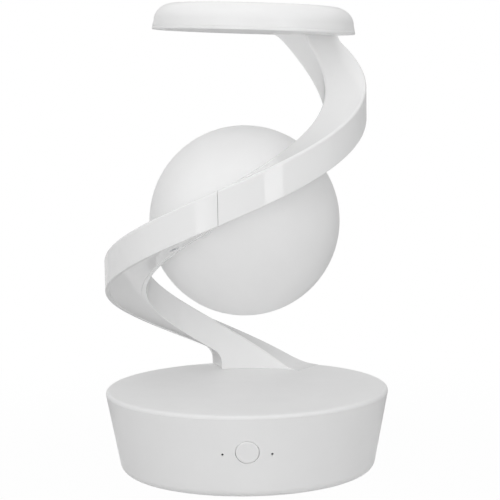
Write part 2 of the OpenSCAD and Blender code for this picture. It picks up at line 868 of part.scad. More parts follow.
module upper_arm() {
    low = function (a, x) upper_low(a, x);
    high = function (a, x) upper_high(a, x);
    edge = function (a) min(arm_round, tray_low(arm_x(a, arm_w / 2)) - helix(a) - toe(a));
    screw_a = [strip_screw_at[1], strip_screw_at[2]];
    color(white_gloss)
        difference() {
            union() {
                sweep([for (a = upper_angles) shell_ring(a, low, high, edge)]);
                for (a = screw_a)
                    strip_boss(a);
                for (a = tray_screw_at)
                    translate(arm_point(a, screw_across, tray_boss_low(a)))
                        cylinder(r = boss_r, h = tray_seat(a) - arm_roof / 2 - tray_boss_low(a));
            }
            for (a = screw_a)
                strip_pilot(a);
            for (a = tray_screw_at)
                translate(arm_point(a, screw_across, tray_boss_low(a) + pilot_floor))
                    cylinder(r = pilot_r, h = 2 * tray_boss_h);
            splice_pilot(splice_screw_at[1]);
            translate(arm_point(head_hole_at, head_lead_across, strip_top(head_hole_at) + 2 * lead_d))
                cylinder(r = head_hole_r, h = 2 * tray_boss_h);
        }
}

module upper_strip() {
    screw_a = [strip_screw_at[1], strip_screw_at[2]];
    strip_end = toe_at + (channel_h - 1) / arm_pitch;
    angles = concat([for (a = upper_angles) if (a < strip_end) a], [strip_end]);
    low = function (a) upper_low(a, arm_x(a, arm_w / 2)) + strip_inset;
    color(white_gloss)
        difference() {
            sweep([for (a = angles) bar_ring(a, low(a), low(a) + strip_t)]);
            for (a = screw_a)
                strip_hole(a);
        }
}

module strip_screws() {
    color(steel)
        for (a = strip_screw_at)
            on_slope(a, strip_top(a))
                translate([0, 0, -strip_floor])
                    screw(screw_r, short_screw_len, screw_head_r, screw_head_t);
}

module tray_screws() {
    lean_gap = 0.2;
    function reach(a) = tray_t + tray_seat(a) - tray_boss_low(a) - pilot_floor - pilot_spare;
    color(steel)
        for (a = tray_screw_at)
            translate(arm_point(a, screw_across, tray_seat(a) + tray_t + lean_gap))
                rotate([180, 0, 0])
                    screw(screw_r, reach(a), screw_head_r, screw_head_t);
}

module globe_lead() {
    across = globe_lead_across;
    along = arm_in(stem_at) + across;
    stem = [cos(stem_rise) * cos(stem_at), cos(stem_rise) * sin(stem_at), sin(stem_rise)];
    turn = [0, 0, globe_z] + along / cos(stem_rise) * stem;
    end = [0, 0, globe_z] + (globe_r - plug_depth) * stem;
    color(dark)
        lead(concat(lead_way(lead_socket_x[0], across, lead_hole_at + lead_spread_a, stem_at), [turn, end]));
}

module head_lead() {
    across = head_lead_across;
    lift = tray_t + lead_r + 2 * fit;
    pad_r = charger_board_r * 0.7;
    pad_at = head_hole_at - 8;
    solder_gap = 0.2;
    pad = [head_shift + pad_r * cos(pad_at), pad_r * sin(pad_at)];
    hole_x = arm_x(head_hole_at, across);
    top = arm_point(head_hole_at, across, tray_low(hole_x) + lift);
    inner = [pad[0], pad[1], tray_low(pad[0]) + lift];
    end = inner + [0, 0, charger_board_z - lift - solder_gap];
    way = lead_way(lead_socket_x[1], across, lead_hole_at - lead_spread_a, head_hole_at);
    color(dark)
        lead(concat(way, [top, inner, end]));
}

module moon_globe() {
    color(white_matte)
        difference() {
            translate([0, 0, globe_z]) sphere(r = globe_r);
            translate([0, 0, globe_z]) sphere(r = globe_r - globe_t);
            at_stem() cylinder(r = neck_r, h = 2 * globe_r);
        }
}

// The plug closes the globe's hole; its thin lip lies on the globe from outside
module globe_plug() {
    lip_r = neck_r + 0.8;
    color(white_gloss)
        at_stem()
            difference() {
                union() {
                    intersection() {
                        difference() {
                            sphere(r = globe_r + plug_lip);
                            sphere(r = globe_r + fit / 3);
                        }
                        cylinder(r = lip_r, h = 2 * globe_r);
                    }
                    intersection() {
                        sphere(r = globe_r + plug_lip);
                        translate([0, 0, globe_r - plug_depth])
                            cylinder(r = neck_r - fit, h = 2 * plug_depth);
                    }
                }
                translate([0, 0, nipple_in]) cylinder(r = nipple_r, h = globe_r);
                translate([0, 0, globe_r - plug_depth - overlap]) cylinder(r = nipple_bore_r, h = globe_r);
            }
}

module stem_nipple() {
    color(steel)
        at_stem()
            translate([0, 0, nipple_in])
                difference() {
                    cylinder(r = nipple_r, h = nipple_out - nipple_in);
                    translate([0, 0, -overlap])
                        cylinder(r = nipple_bore_r, h = nipple_out - nipple_in + 2 * overlap);
                }
}

module stem_nut() {
    color(steel)
        at_stem()
            translate([0, 0, nut_seat])
                difference() {
                    rotate([0, 0, slope(stem_at) - 30]) cylinder(d = nut_flats / cos(30), h = nut_t, $fn = 6);
                    translate([0, 0, -overlap]) cylinder(r = nipple_r, h = nut_t + 2 * overlap);
                }
}

module lamp_board() {
    color(white_gloss)
        at_stem()
            translate([0, 0, lamp_board_z])
                cylinder(r = neck_r - 0.8, h = lamp_board_t);
}

module led_emitters() {
    chip = [2.2, 2.2, 0.8];
    ring_r = neck_r / 2;
    color("#f2dc8a")
        at_stem()
            for (i = [0 : 3])
                rotate([0, 0, 90 * i])
                    translate([ring_r - chip[0] / 2, -chip[1] / 2, lamp_board_z - chip[2]])
                        cube(chip);
}

module head_tray() {
    edge_round = 0.5;
    ring_h = 3;
    ring_out = head_r - cap_wall - 1;
    pin_up = 2;
    profile = concat(
        [[0, 0]],
        arc([head_r - edge_round, edge_round], [edge_round, edge_round], -90, 0, 4),
        [
            [head_r, tray_edge], [ring_out, tray_edge], [ring_out, tray_edge + ring_h],
            [ring_out - 1.6, tray_edge + ring_h], [ring_out - 1.6, tray_t], [0, tray_t]
        ]
    );
    color(white_gloss)
        difference() {
            at_head() {
                rotate_extrude() polygon(profile);
                for (a = charger_pin_at)
                    rotate([0, 0, a])
                        translate([charger_pin_ring, 0, tray_t - overlap]) {
                            cylinder(r = 2 * charger_pin_r, h = charger_board_z - tray_t + overlap);
                            cylinder(r = charger_pin_r, h = charger_board_z + pin_up - tray_t + overlap);
                        }
            }
            for (a = tray_screw_at)
                translate(arm_point(a, screw_across, tray_z - 2 * tray_t))
                    cylinder(r = screw_r + fit, h = 6 * tray_t);
            translate(arm_point(head_hole_at, head_lead_across, tray_z - 2 * tray_t))
                cylinder(r = head_hole_r, h = 6 * tray_t);
            at_head()
                for (a = head_screw_at)
                    rotate([0, 0, a]) translate([head_screw_r, 0, -overlap]) {
                        cylinder(r = screw_r + fit, h = 2 * tray_t);
                        cylinder(r = screw_head_r + fit, h = overlap + screw_head_t);
                    }
        }
}

module head_cap() {
    draft = 0.7;
    centre = [head_r - draft - crown_w, head_h - crown_h];
    seat = tray_edge + fit / 3;
    profile = concat(
        [[head_r - fit, seat]],
        arc(centre, [crown_w, crown_h], 0, 90, 14),
        [[0, head_h], [0, ceiling]],
        arc(centre, [crown_w - cap_wall, crown_h - cap_wall], 90, 0, 14),
        [[head_r - fit - cap_wall, seat]]
    );
    color(white_gloss)
        at_head()
            difference() {
                union() {
                    rotate_extrude() polygon(profile);
                    for (a = head_screw_at)
                        rotate([0, 0, a])
                            translate([head_screw_r, 0, tray_t + fit / 3])
                                cylinder(r = boss_r, h = ceiling - tray_t);
                }
                for (a = head_screw_at)
                    rotate([0, 0, a])
                        translate([head_screw_r, 0, 0])
                            cylinder(r = pilot_r, h = ceiling - pilot_floor);
            }
}

module head_screws() {
    color(steel)
        at_head()
            for (a = head_screw_at)
                rotate([0, 0, a])
                    translate([head_screw_r, 0, screw_head_t])
                        screw(screw_r, cap_screw_len, screw_head_r, screw_head_t);
}

module charging_coil() {
    color(copper)
        at_head()
            translate([0, 0, ceiling - coil_t])
                difference() {
                    cylinder(r = coil_out, h = coil_t);
                    translate([0, 0, -overlap]) cylinder(r = coil_in, h = coil_t + 2 * overlap);
                }
}

module ferrite_disc() {
    color(dark)
        at_head()
            translate([0, 0, ceiling - coil_t - ferrite_t - fit / 5])
                cylinder(r = coil_out + 1, h = ferrite_t);
}

module charger_board() {
    chip = [7, 5, 1.2];
    chip_sunk = 0.1;
    color(board_green)
        at_head() {
            translate([0, 0, charger_board_z])
                difference() {
                    cylinder(r = charger_board_r, h = charger_board_t);
                    for (a = charger_pin_at)
                        rotate([0, 0, a])
                            translate([charger_pin_ring, 0, -overlap])
                                cylinder(r = charger_pin_r + fit, h = charger_board_t + 2 * overlap);
                }
            for (x = [-10, 3])
                translate([x, -6, charger_board_z + charger_board_t - chip_sunk])
                    cube(chip);
        }
}

base_shell();
deck();
bottom_cover();
foot_pads();
cover_screws();
ballast_plate();
main_board();
board_parts();
board_screws();
usb_inlet();
button_board();
button_board_screws();
switch_body();
switch_plunger();
power_button();
light_pipes();
indicator_leds();
lower_arm();
lower_strip();
foot_screws();
arm_splice();
splice_screws();
upper_arm();
upper_strip();
strip_screws();
tray_screws();
globe_lead();
head_lead();
moon_globe();
globe_plug();
stem_nipple();
stem_nut();
lamp_board();
led_emitters();
head_tray();
head_cap();
head_screws();
charging_coil();
ferrite_disc();
charger_board();
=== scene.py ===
import math

import bmesh
import bpy
from mathutils import Matrix, Vector


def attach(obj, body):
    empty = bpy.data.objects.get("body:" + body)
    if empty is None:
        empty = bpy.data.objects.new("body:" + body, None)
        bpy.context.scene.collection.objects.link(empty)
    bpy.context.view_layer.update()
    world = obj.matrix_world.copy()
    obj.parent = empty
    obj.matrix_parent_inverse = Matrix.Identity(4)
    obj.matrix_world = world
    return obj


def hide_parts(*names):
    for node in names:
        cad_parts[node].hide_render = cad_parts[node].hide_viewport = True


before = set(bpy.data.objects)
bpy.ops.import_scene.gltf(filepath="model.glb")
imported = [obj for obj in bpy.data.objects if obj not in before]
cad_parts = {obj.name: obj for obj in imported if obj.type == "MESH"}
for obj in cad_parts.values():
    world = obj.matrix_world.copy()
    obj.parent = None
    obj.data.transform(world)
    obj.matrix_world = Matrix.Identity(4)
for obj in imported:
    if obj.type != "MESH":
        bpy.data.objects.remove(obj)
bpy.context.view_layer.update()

MM = 0.001
TURN = 180 / math.pi

# Sizes repeated from the part's source, in millimetres and degrees
BASE_R, BASE_R_LOW, BASE_H, BASE_WALL, BASE_ROUND = 65.0, 57.9, 37.3, 2.4, 4.5
DECK_EDGE, DECK_T, FOOT_H, COVER_R, COVER_T = 1.5, 2.4, 1.2, 51.0, 3.0
BUTTON_R, BUTTON_GAP, BUTTON_Z, BUTTON_PROUD = 5.0, 0.25, 22.1, 0.3
DOT_R, DOT_REACH, DOT_DROP = 0.5, 10.6, 1.25
ARM_R, ARM_W, ARM_H, ARM_START, TOE_AT = 45.3, 18.6, 15.0, 57.0, 401.3
FOOT_DIP, FOOT_SWELL, SETTLE_A = 3.4, 11.5, 200.0
HEEL_AT, HEEL_R, SEAM_AT, TAPER_FROM, TAPER_TO = 105.5, 4.0, 259.8, 240.0, 418.0
ARM_WALL, ARM_ROOF, ARM_ROUND, STRIP_T, STRIP_INSET = 2.0, 2.6, 1.2, 2.4, 0.2
GLOBE_R, GLOBE_T, GLOBE_LIFT, STEM_AT, NECK_R = 43.2, 1.8, 76.7, 243.0, 6.2
HEAD_R, HEAD_H, HEAD_LIFT, HEAD_SHIFT, HEAD_LEAN = 45.6, 12.0, 161.6, 5.2, 2.4
TRAY_EDGE, TRAY_T, CROWN_W, CROWN_H, CAP_WALL = 1.3, 2.2, 9.4, 7.9, 2.0
FIT, SEAM_GAP, SOFT_END, SLIVER = 0.15, 0.2, 1.2, 0.1
TOE_INSET, TOE_SHIFT = 1.6, 2.9
SCREW_R, SCREW_HEAD_R, SCREW_HEAD_T, SCREW_ACROSS, STRIP_FLOOR = 1.2, 2.2, 1.3, 6.4, 0.7
INLET_W, INLET_H, INLET_Z = 8.94, 3.2, 13.4

DECK_Z = FOOT_H + BASE_H
RIM_Z = DECK_Z - DECK_EDGE
FLOOR_Z = FOOT_H + COVER_T
TRAY_Z = DECK_Z + HEAD_LIFT
GLOBE_Z = DECK_Z + GLOBE_LIFT
BASE_SLOPE = math.atan((BASE_R - BASE_R_LOW) / BASE_H)
LEAN = math.radians(HEAD_LEAN)
ARM_PITCH = HEAD_LIFT / (TOE_AT - ARM_START)
ARM_MID_R = ARM_R + ARM_W / 2
HEEL_A = HEEL_R / ARM_MID_R * TURN
SEAM_HALF_A = SEAM_GAP / 2 / ARM_MID_R * TURN
TOE_A = 2 * HEEL_A
TOE_FROM = TOE_AT - TOE_A - HEEL_A
TAIL_A = 3 * SOFT_END / ARM_PITCH
LOWER_FROM = ARM_START + FOOT_DIP / ARM_PITCH - TAIL_A
UPPER_TO = TOE_AT + ARM_H / ARM_PITCH + TAIL_A / 2
STRIP_END = TOE_AT + (ARM_H - ARM_ROOF - STRIP_T - STRIP_INSET - 1) / ARM_PITCH

# Fineness of the meshes: faces round a piece, and the angle above which an edge is sharp
ROUND_FACES, GLOBE_FACES, BUTTON_FACES, DRILL_FACES, SCREW_FACES = 288, 192, 96, 64, 48
SHARP = math.radians(32)


def wall_r(z):
    """The base's outer radius at a height."""
    return BASE_R_LOW + (BASE_R - BASE_R_LOW) * (z - FOOT_H) / BASE_H


# The arm's formulas; a is the angle along it


def ramp(a):
    """How far the arm has drawn in towards the head, from 0 to 1."""
    u = min(1, max(0, (a - TAPER_FROM) / (TAPER_TO - TAPER_FROM)))
    return u * u * (3 - 2 * u)


def arm_in(a):
    return ARM_R + (HEAD_R - TOE_INSET - ARM_W - ARM_R) * ramp(a)


def arm_xy(a, across):
    t = math.radians(a)
    r = arm_in(a) + across
    return (HEAD_SHIFT + TOE_SHIFT) * ramp(a) + r * math.cos(t), r * math.sin(t)


def helix(a):
    """The height of the arm's upper side, before it meets deck or head."""
    u = min(1, (a - ARM_START) / SETTLE_A)
    return DECK_Z + ARM_PITCH * (a - ARM_START) + (1 - u) ** 2 * (FOOT_SWELL * u - FOOT_DIP)


def under(a):
    return helix(a) - ARM_H


def eased(u):
    """u where it is above 0, running out softly to 0 below."""
    return SOFT_END * math.log(1 + math.exp(u / SOFT_END))


def tray_low(x):
    return TRAY_Z - (x - HEAD_SHIFT) * math.tan(LEAN)


def hollow(u):
    """The drop of a rounded inner corner, as u runs from 0 to 1 at the corner."""
    return HEEL_R * (1 - math.sqrt(1 - u * u))


def heel(a):
    return hollow(max(0, 1 - (a - HEEL_AT) / HEEL_A))


def toe(a):
    return hollow(min(1, max(0, (a - TOE_FROM) / TOE_A)))


# Upper and lower sides of both halves, called alike; only the upper half needs x, for the lean


def lower_high(a, x):
    return DECK_Z + eased(helix(a) - DECK_Z)


def lower_low(a, x):
    return DECK_Z if a < HEEL_AT else under(a) - heel(a)


def upper_high(a, x):
    return min(helix(a) + toe(a), tray_low(x) - FIT / 10)


def upper_low(a, x):
    return tray_low(x) - FIT / 10 - eased(tray_low(x) - under(a))


def slope(a):
    """The arm's rise where the strips' screws sit."""
    return math.atan((helix(a + 1) - helix(a - 1)) / 2 * TURN / (arm_in(a) + SCREW_ACROSS))


# Mesh making


def shade(bm):
    """Makes the faces smooth, parted at sharp edges."""
    for f in bm.faces:
        f.smooth = True
    for e in bm.edges:
        e.smooth = not (len(e.link_faces) == 2 and e.calc_face_angle(0) > SHARP)


def finish_mesh(name, bm):
    """A mesh object in metres from a bmesh in millimetres."""
    bmesh.ops.remove_doubles(bm, verts=bm.verts, dist=1e-5)
    bmesh.ops.recalc_face_normals(bm, faces=bm.faces)
    shade(bm)
    bmesh.ops.scale(bm, vec=(MM, MM, MM), verts=bm.verts)
    mesh = bpy.data.meshes.new(name)
    bm.to_mesh(mesh)
    bm.free()
    obj = bpy.data.objects.new(name, mesh)
    bpy.context.scene.collection.objects.link(obj)
    return obj


def ellipse(cx, cz, rx, rz, start, end, steps):
    out = []
    for i in range(steps + 1):
        t = math.radians(start + (end - start) * i / steps)
        out.append((cx + rx * math.cos(t), cz + rz * math.sin(t)))
    return out


def arc(cx, cz, r, start, end, steps):
    return ellipse(cx, cz, r, r, start, end, steps)


def revolve(profile, segments, matrix=None):
    """A closed skin round +Z from points (radius, height).

    The profile closes on itself unless both of its ends lie on the axis.
    """
    bm = bmesh.new()
    turns = [2 * math.pi * k / segments for k in range(segments)]
    rings = []
    for r, z in profile:
        if r < 1e-6:
            rings.append([bm.verts.new((0, 0, z))])
        else:
            rings.append([bm.verts.new((r * math.cos(t), r * math.sin(t), z)) for t in turns])
    closed = len(rings[0]) > 1 or len(rings[-1]) > 1
    pairs = list(zip(rings, rings[1:])) + ([(rings[-1], rings[0])] if closed else [])
    for a, b in pairs:
        for k in range(segments):
            j = (k + 1) % segments
            corners = [a[k % len(a)], a[j % len(a)], b[j % len(b)], b[k % len(b)]]
            face = []
            for v in corners:
                if v not in face:
                    face.append(v)
            if len(face) > 2:
                bm.faces.new(face)
    if matrix is not None:
        bmesh.ops.transform(bm, matrix=matrix, verts=bm.verts)
    return bm


def loft(rings):
    """A closed skin over a row of like closed outlines."""
    bm = bmesh.new()
    rows = [[bm.verts.new(p) for p in ring] for ring in rings]
    n = len(rows[0])
    for a, b in zip(rows, rows[1:]):
        for j in range(n):
            k = (j + 1) % n
            bm.faces.new([a[j], b[j], b[k], a[k]])
    bm.faces.new(rows[0])
    bm.faces.new(list(reversed(rows[-1])))
    return bm


def cut(obj, cutters):
    """Takes the cutters' solids away from the object; the cutters go."""
    for c in cutters:
        mod = obj.modifiers.new("cut", "BOOLEAN")
        mod.operation = "DIFFERENCE"
        mod.solver = "EXACT"
        mod.object = c
    bpy.context.view_layer.update()
    graph = bpy.context.evaluated_depsgraph_get()
    mesh = bpy.data.meshes.new_from_object(obj.evaluated_get(graph))
    obj.modifiers.clear()
    old = obj.data
    obj.data = mesh
    bpy.data.meshes.remove(old)
    for c in cutters:
        data = c.data
        bpy.data.objects.remove(c)
        bpy.data.meshes.remove(data)
    bm = bmesh.new()
    bm.from_mesh(obj.data)
    shade(bm)
    bm.to_mesh(obj.data)
    bm.free()


STRAIGHT, SIDE_SHARE = math.radians(88), 0.48


def rounded(points, radii, steps):
    """A closed outline with each corner rounded by its own radius, as far as its sides allow."""
    out = []
    n = len(points)
    for i, p in enumerate(points):
        r = radii[i]
        p = Vector(p)
        a, b = Vector(points[i - 1]) - p, Vector(points[(i + 1) % n]) - p
        half = a.angle(b) / 2
        if r <= 0 or half > STRAIGHT:
            out.append(tuple(p))
            continue
        d = min(r / math.tan(half), a.length * SIDE_SHARE, b.length * SIDE_SHARE)
        r = d * math.tan(half)
        to_a, to_b = a.normalized(), b.normalized()
        centre = p + (to_a + to_b).normalized() * (r / math.sin(half))
        start, end = p + to_a * d - centre, p + to_b * d - centre
        turn = start.angle_signed(end)
        for k in range(steps + 1):
            out.append(tuple(centre + Matrix.Rotation(-turn * k / steps, 2) @ start))
    return out


# Materials

NOISE_LOW, NOISE_HIGH = 0.3, 0.7
CLOUD_SCALE, CLOUD_DETAIL = 55, 3
PATCH_SCALE, PATCH_DETAIL = 140, 4
GRAIN_DETAIL, PLASTIC_IOR = 2, 1.48
LINE_DETAIL, LINE_ROUGH, LINE_DEPTH, LINE_STRENGTH = 3, 0.6, 0.00002, 0.3


def add_node(tree, kind, inputs=None, **settings):
    """A shader node; each input is a value or the output of another node."""
    made = tree.nodes.new("ShaderNode" + kind)
    for key, value in settings.items():
        setattr(made, key, value)
    for key, value in (inputs or {}).items():
        if isinstance(value, bpy.types.NodeSocket):
            tree.links.new(value, made.inputs[key])
        else:
            made.inputs[key].default_value = value
    return made


def material(name):
    mat = bpy.data.materials.new(name)
    mat.use_nodes = True
    return mat, mat.node_tree, mat.node_tree.nodes["Principled BSDF"].inputs


def object_coords(tree):
    return add_node(tree, "TexCoord").outputs["Object"]


def noise(tree, vector, scale, detail, rough=0.5):
    return add_node(tree, "TexNoise", {
        "Vector": vector, "Scale": scale, "Detail": detail, "Roughness": rough,
    }).outputs["Fac"]


def colour_between(tree, factor, dark, light):
    band = add_node(tree, "ValToRGB", {"Fac": factor})
    ends = zip(band.color_ramp.elements, (NOISE_LOW, NOISE_HIGH), (dark, light))
    for element, position, tone in ends:
        element.position = position
        element.color = (*tone, 1)
    return band.outputs["Color"]


def spread(tree, factor, low, high):
    return add_node(tree, "MapRange", {
        "Value": factor,
        "From Min": NOISE_LOW, "From Max": NOISE_HIGH,
        "To Min": low, "To Max": high,
    }).outputs["Result"]


def bump(tree, height, depth, strength):
    return add_node(tree, "Bump", {
        "Strength": strength, "Distance": depth, "Height": height,
    }).outputs["Normal"]


def moulded(name, dark, light, rough, grain, depth, strength):
    """Moulded plastic: cloudy tone, uneven gloss and a fine grain."""
    mat, tree, shader = material(name)
    coords = object_coords(tree)
    cloud = noise(tree, coords, CLOUD_SCALE, CLOUD_DETAIL)
    patch = noise(tree, coords, PATCH_SCALE, PATCH_DETAIL)
    fine = noise(tree, coords, grain, GRAIN_DETAIL)
    tree.links.new(colour_between(tree, cloud, dark, light), shader["Base Color"])
    tree.links.new(spread(tree, patch, *rough), shader["Roughness"])
    tree.links.new(bump(tree, fine, depth, strength), shader["Normal"])
    shader["IOR"].default_value = PLASTIC_IOR
    return mat


def metal(name, dark, light, rough, grain, stretch):
    """Plated metal with fine drawn lines."""
    mat, tree, shader = material(name)
    stretched = add_node(tree, "Mapping", {"Vector": object_coords(tree), "Scale": stretch})
    lines = noise(tree, stretched.outputs["Vector"], grain, LINE_DETAIL, LINE_ROUGH)
    tree.links.new(colour_between(tree, lines, dark, light), shader["Base Color"])
    tree.links.new(spread(tree, lines, *rough), shader["Roughness"])
    tree.links.new(bump(tree, lines, LINE_DEPTH, LINE_STRENGTH), shader["Normal"])
    shader["Metallic"].default_value = 1.0
    return mat


def grey(level):
    return level, level, level


# Each look: dark and light tone, range of roughness, scale of the grain, its depth in metres
# and its strength
PLASTICS = {
    "body_white": (grey(0.775), grey(0.79), (0.42, 0.5), 2600, 0.00003, 0.12),
    "arm_white": (grey(0.825), grey(0.835), (0.03, 0.045), 900, 0.00001, 0.05),
    "head_white": (grey(0.85), grey(0.865), (0.28, 0.3), 1200, 0.000002, 0.02),
    "globe_white": (grey(0.82), grey(0.84), (0.5, 0.6), 3200, 0.00004, 0.15),
    "foot_rubber":
        ((0.018, 0.019, 0.02), (0.03, 0.03, 0.032), (0.7, 0.85), 2400, 0.00006, 0.4),
    # Black plastic of the dark inner parts, also used as painted shade in the two pinholes
    "black_plastic_and_pinhole_shade":
        ((0.015, 0.016, 0.018), (0.024, 0.025, 0.027), (0.4, 0.55), 2000, 0.00003, 0.25),
    "lead_sleeve":
        ((0.012, 0.012, 0.013), (0.02, 0.02, 0.022), (0.45, 0.6), 1600, 0.00003, 0.25),
    "board_green":
        ((0.02, 0.12, 0.055), (0.032, 0.165, 0.08), (0.28, 0.4), 1500, 0.00002, 0.2),
    "board_white": ((0.76, 0.76, 0.75), (0.8, 0.8, 0.79), (0.3, 0.42), 1500, 0.00002, 0.2),
    "indicator_clear": ((0.7, 0.71, 0.68), (0.8, 0.8, 0.77), (0.12, 0.2), 900, 0.00001, 0.1),
    "led_phosphor": ((0.78, 0.6, 0.16), (0.88, 0.72, 0.24), (0.4, 0.55), 1900, 0.00003, 0.25),
    "ferrite":
        ((0.016, 0.016, 0.017), (0.028, 0.028, 0.03), (0.55, 0.7), 1700, 0.00003, 0.3),
}
# Each look: dark and light tone, range of roughness, scale of the lines and how they stretch
METALS = {
    "plated_steel": ((0.66, 0.67, 0.69), (0.78, 0.79, 0.8), (0.42, 0.54), 700, (1, 1, 6)),
    "enamelled_copper": ((0.5, 0.2, 0.08), (0.68, 0.3, 0.13), (0.22, 0.34), 900, (1, 1, 5)),
}
LOOKS = {name: moulded(name, *values) for name, values in PLASTICS.items()}
LOOKS.update({name: metal(name, *values) for name, values in METALS.items()})

LOOK_OF_NODES = {
    "body_white": ("base_shell", "deck", "bottom_cover"),
    "arm_white": (
        "lower_arm", "upper_arm", "lower_strip", "upper_strip", "power_button", "globe_plug",
    ),
    "head_white": ("head_cap", "head_tray"),
    "globe_white": ("moon_globe",),
    "foot_rubber": ("foot_pads",),
    # Black for the real black parts; the light pipes behind the two pinholes take it as painted
    # shade of the holes
    "black_plastic_and_pinhole_shade": (
        "board_parts", "switch_body", "switch_plunger", "arm_splice", "light_pipes",
    ),
    "lead_sleeve": ("globe_lead", "head_lead"),
    "board_green": ("main_board", "button_board", "charger_board"),
    "board_white": ("lamp_board",),
    "indicator_clear": ("indicator_leds",),
    "led_phosphor": ("led_emitters",),
    "ferrite": ("ferrite_disc",),
    "enamelled_copper": ("charging_coil",),
    "plated_steel": (
        "cover_screws", "board_screws", "button_board_screws", "foot_screws", "splice_screws",
        "strip_screws", "tray_screws", "head_screws", "ballast_plate", "usb_inlet",
        "stem_nipple", "stem_nut",
    ),
}


def dress(obj, look):
    obj.data.materials.clear()
    obj.data.materials.append(look)
    return obj


for look_name, node_names in LOOK_OF_NODES.items():
    for node_name in node_names:
        dress(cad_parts[node_name], LOOKS[look_name])


def place(obj, body, slot, node, look=None):
    """Puts a mesh on its body in place of a node, in its slot's look unless another is named."""
    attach(obj, body)
    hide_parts(node)
    dress(obj, LOOKS[look or slot])


# The base: wall with its button hole, pinholes and inlet slot, and the deck

RIM_ROUND, HAIR_A, HAIR_DEPTH = 1.6, 1.2, 0.25
WALL_ROWS = (10, 16, 22, 28, 33)
LEDGE_Z, LEDGE_R = FLOOR_Z + 2, COVER_R - 3
RING_H, RING_W = 3, 2
DECK_ROWS = (BASE_R - 4, 48, 24, 0)
DRILL_OUT, BUTTON_DRILL, DOT_DRILL, DOT_PLAY = 3, 6, 5, 0.05
INLET_PLAY, INLET_REACH = 0.6, (52, 68)

at_button = (
    Matrix.Translation((0, -wall_r(BUTTON_Z), BUTTON_Z))
    @ Matrix.Rotation(math.pi / 2 + BASE_SLOPE, 4, "X")
)
tangent = BASE_ROUND / math.tan((math.pi / 2 + BASE_SLOPE) / 2)
# One rounding runs over the seam between wall and deck, with a hair line left open in it
slope_a = math.degrees(BASE_SLOPE)
rim_z = DECK_Z - RIM_ROUND
rim_r = (
    wall_r(DECK_Z - RIM_ROUND * (1 + math.sin(BASE_SLOPE))) - RIM_ROUND * math.cos(BASE_SLOPE)
)
rim_seam_a = math.degrees(math.asin(1 - DECK_EDGE / RIM_ROUND))
hair_r = rim_r + RIM_ROUND * math.cos(math.radians(rim_seam_a)) - HAIR_DEPTH
wall_profile = (
    [(COVER_R + FIT, FOOT_H)]
    + arc(BASE_R_LOW - tangent, FOOT_H + BASE_ROUND, BASE_ROUND, -90, -slope_a, steps=12)
    + [(wall_r(z), z) for z in WALL_ROWS]
    + arc(rim_r, rim_z, RIM_ROUND, -slope_a, rim_seam_a - HAIR_A, steps=8)
    + [
        (hair_r, RIM_Z),
        (wall_r(RIM_Z) - BASE_WALL, RIM_Z),
        (wall_r(LEDGE_Z) - BASE_WALL, LEDGE_Z),
        (LEDGE_R, LEDGE_Z),
        (LEDGE_R, FLOOR_Z),
        (COVER_R + FIT, FLOOR_Z),
    ]
)
wall = finish_mesh("drum_wall", revolve(wall_profile, ROUND_FACES))


def drill(name, radius, deep, across=0.0, drop=0.0):
    """A cutter square to the wall, placed from the button's middle."""
    m = at_button @ Matrix.Translation((across, -drop, 0))
    profile = [(0, -deep), (radius, -deep), (radius, DRILL_OUT), (0, DRILL_OUT)]
    return finish_mesh(name, revolve(profile, DRILL_FACES, m))


inlet_half = (INLET_W - INLET_H) / 2
inlet_outline = arc(inlet_half, 0, (INLET_H + INLET_PLAY) / 2, -90, 90, steps=20)
inlet_outline += [(-x, -z) for x, z in inlet_outline]
inlet_rings = [[(x, y, INLET_Z + z) for x, z in inlet_outline] for y in INLET_REACH]
cut(wall, [
    drill("hole_cut", BUTTON_R + BUTTON_GAP, BUTTON_DRILL),
    drill("dot_cut_a", DOT_R + DOT_PLAY, DOT_DRILL, -DOT_REACH, DOT_DROP),
    drill("dot_cut_b", DOT_R + DOT_PLAY, DOT_DRILL, DOT_REACH, DOT_DROP),
    finish_mesh("inlet_cut", loft(inlet_rings)),
])
place(wall, "lamp", "body_white", "base_shell")

ring_top = wall_r(RIM_Z) - BASE_WALL - FIT
ring_z = RIM_Z - RING_H
ring_low = wall_r(ring_z) - BASE_WALL - FIT
deck_profile = (
    [
        (0, DECK_Z - DECK_T),
        (ring_low - RING_W, DECK_Z - DECK_T),
        (ring_low - RING_W, ring_z),
        (ring_low, ring_z),
        (ring_top, RIM_Z),
        (hair_r, RIM_Z),
    ]
    + arc(rim_r, rim_z, RIM_ROUND, rim_seam_a + HAIR_A, 90, steps=14)
    + [(r, DECK_Z) for r in DECK_ROWS]
)
deck = finish_mesh("deck_plate", revolve(deck_profile, ROUND_FACES))
place(deck, "lamp", "body_white", "deck")

# The button with its flange and pin, and a softly dished face in the base's look

PIN_R, PIN_END = 1.5, -6.5
FLANGE_R, FLANGE_BACK, FLANGE_FRONT = 6.2, -4.85, -3.65
BUTTON_ROUND, BUTTON_DISH = 0.6, ((3.2, 0.05), (1.6, 0.09), (0, 0.1))

button_profile = (
    [
        (0, PIN_END),
        (PIN_R, PIN_END),
        (PIN_R, FLANGE_BACK),
        (FLANGE_R, FLANGE_BACK),
        (FLANGE_R, FLANGE_FRONT),
        (BUTTON_R, FLANGE_FRONT),
    ]
    + arc(BUTTON_R - BUTTON_ROUND, BUTTON_PROUD - BUTTON_ROUND, BUTTON_ROUND, 0, 90, steps=8)
    + [(r, BUTTON_PROUD - dip) for r, dip in BUTTON_DISH]
)
button = finish_mesh("button_cap", revolve(button_profile, BUTTON_FACES, at_button))
place(button, "button", "arm_white", "power_button", look="body_white")

# The spiral arm in two halves, and the strips that close it from below

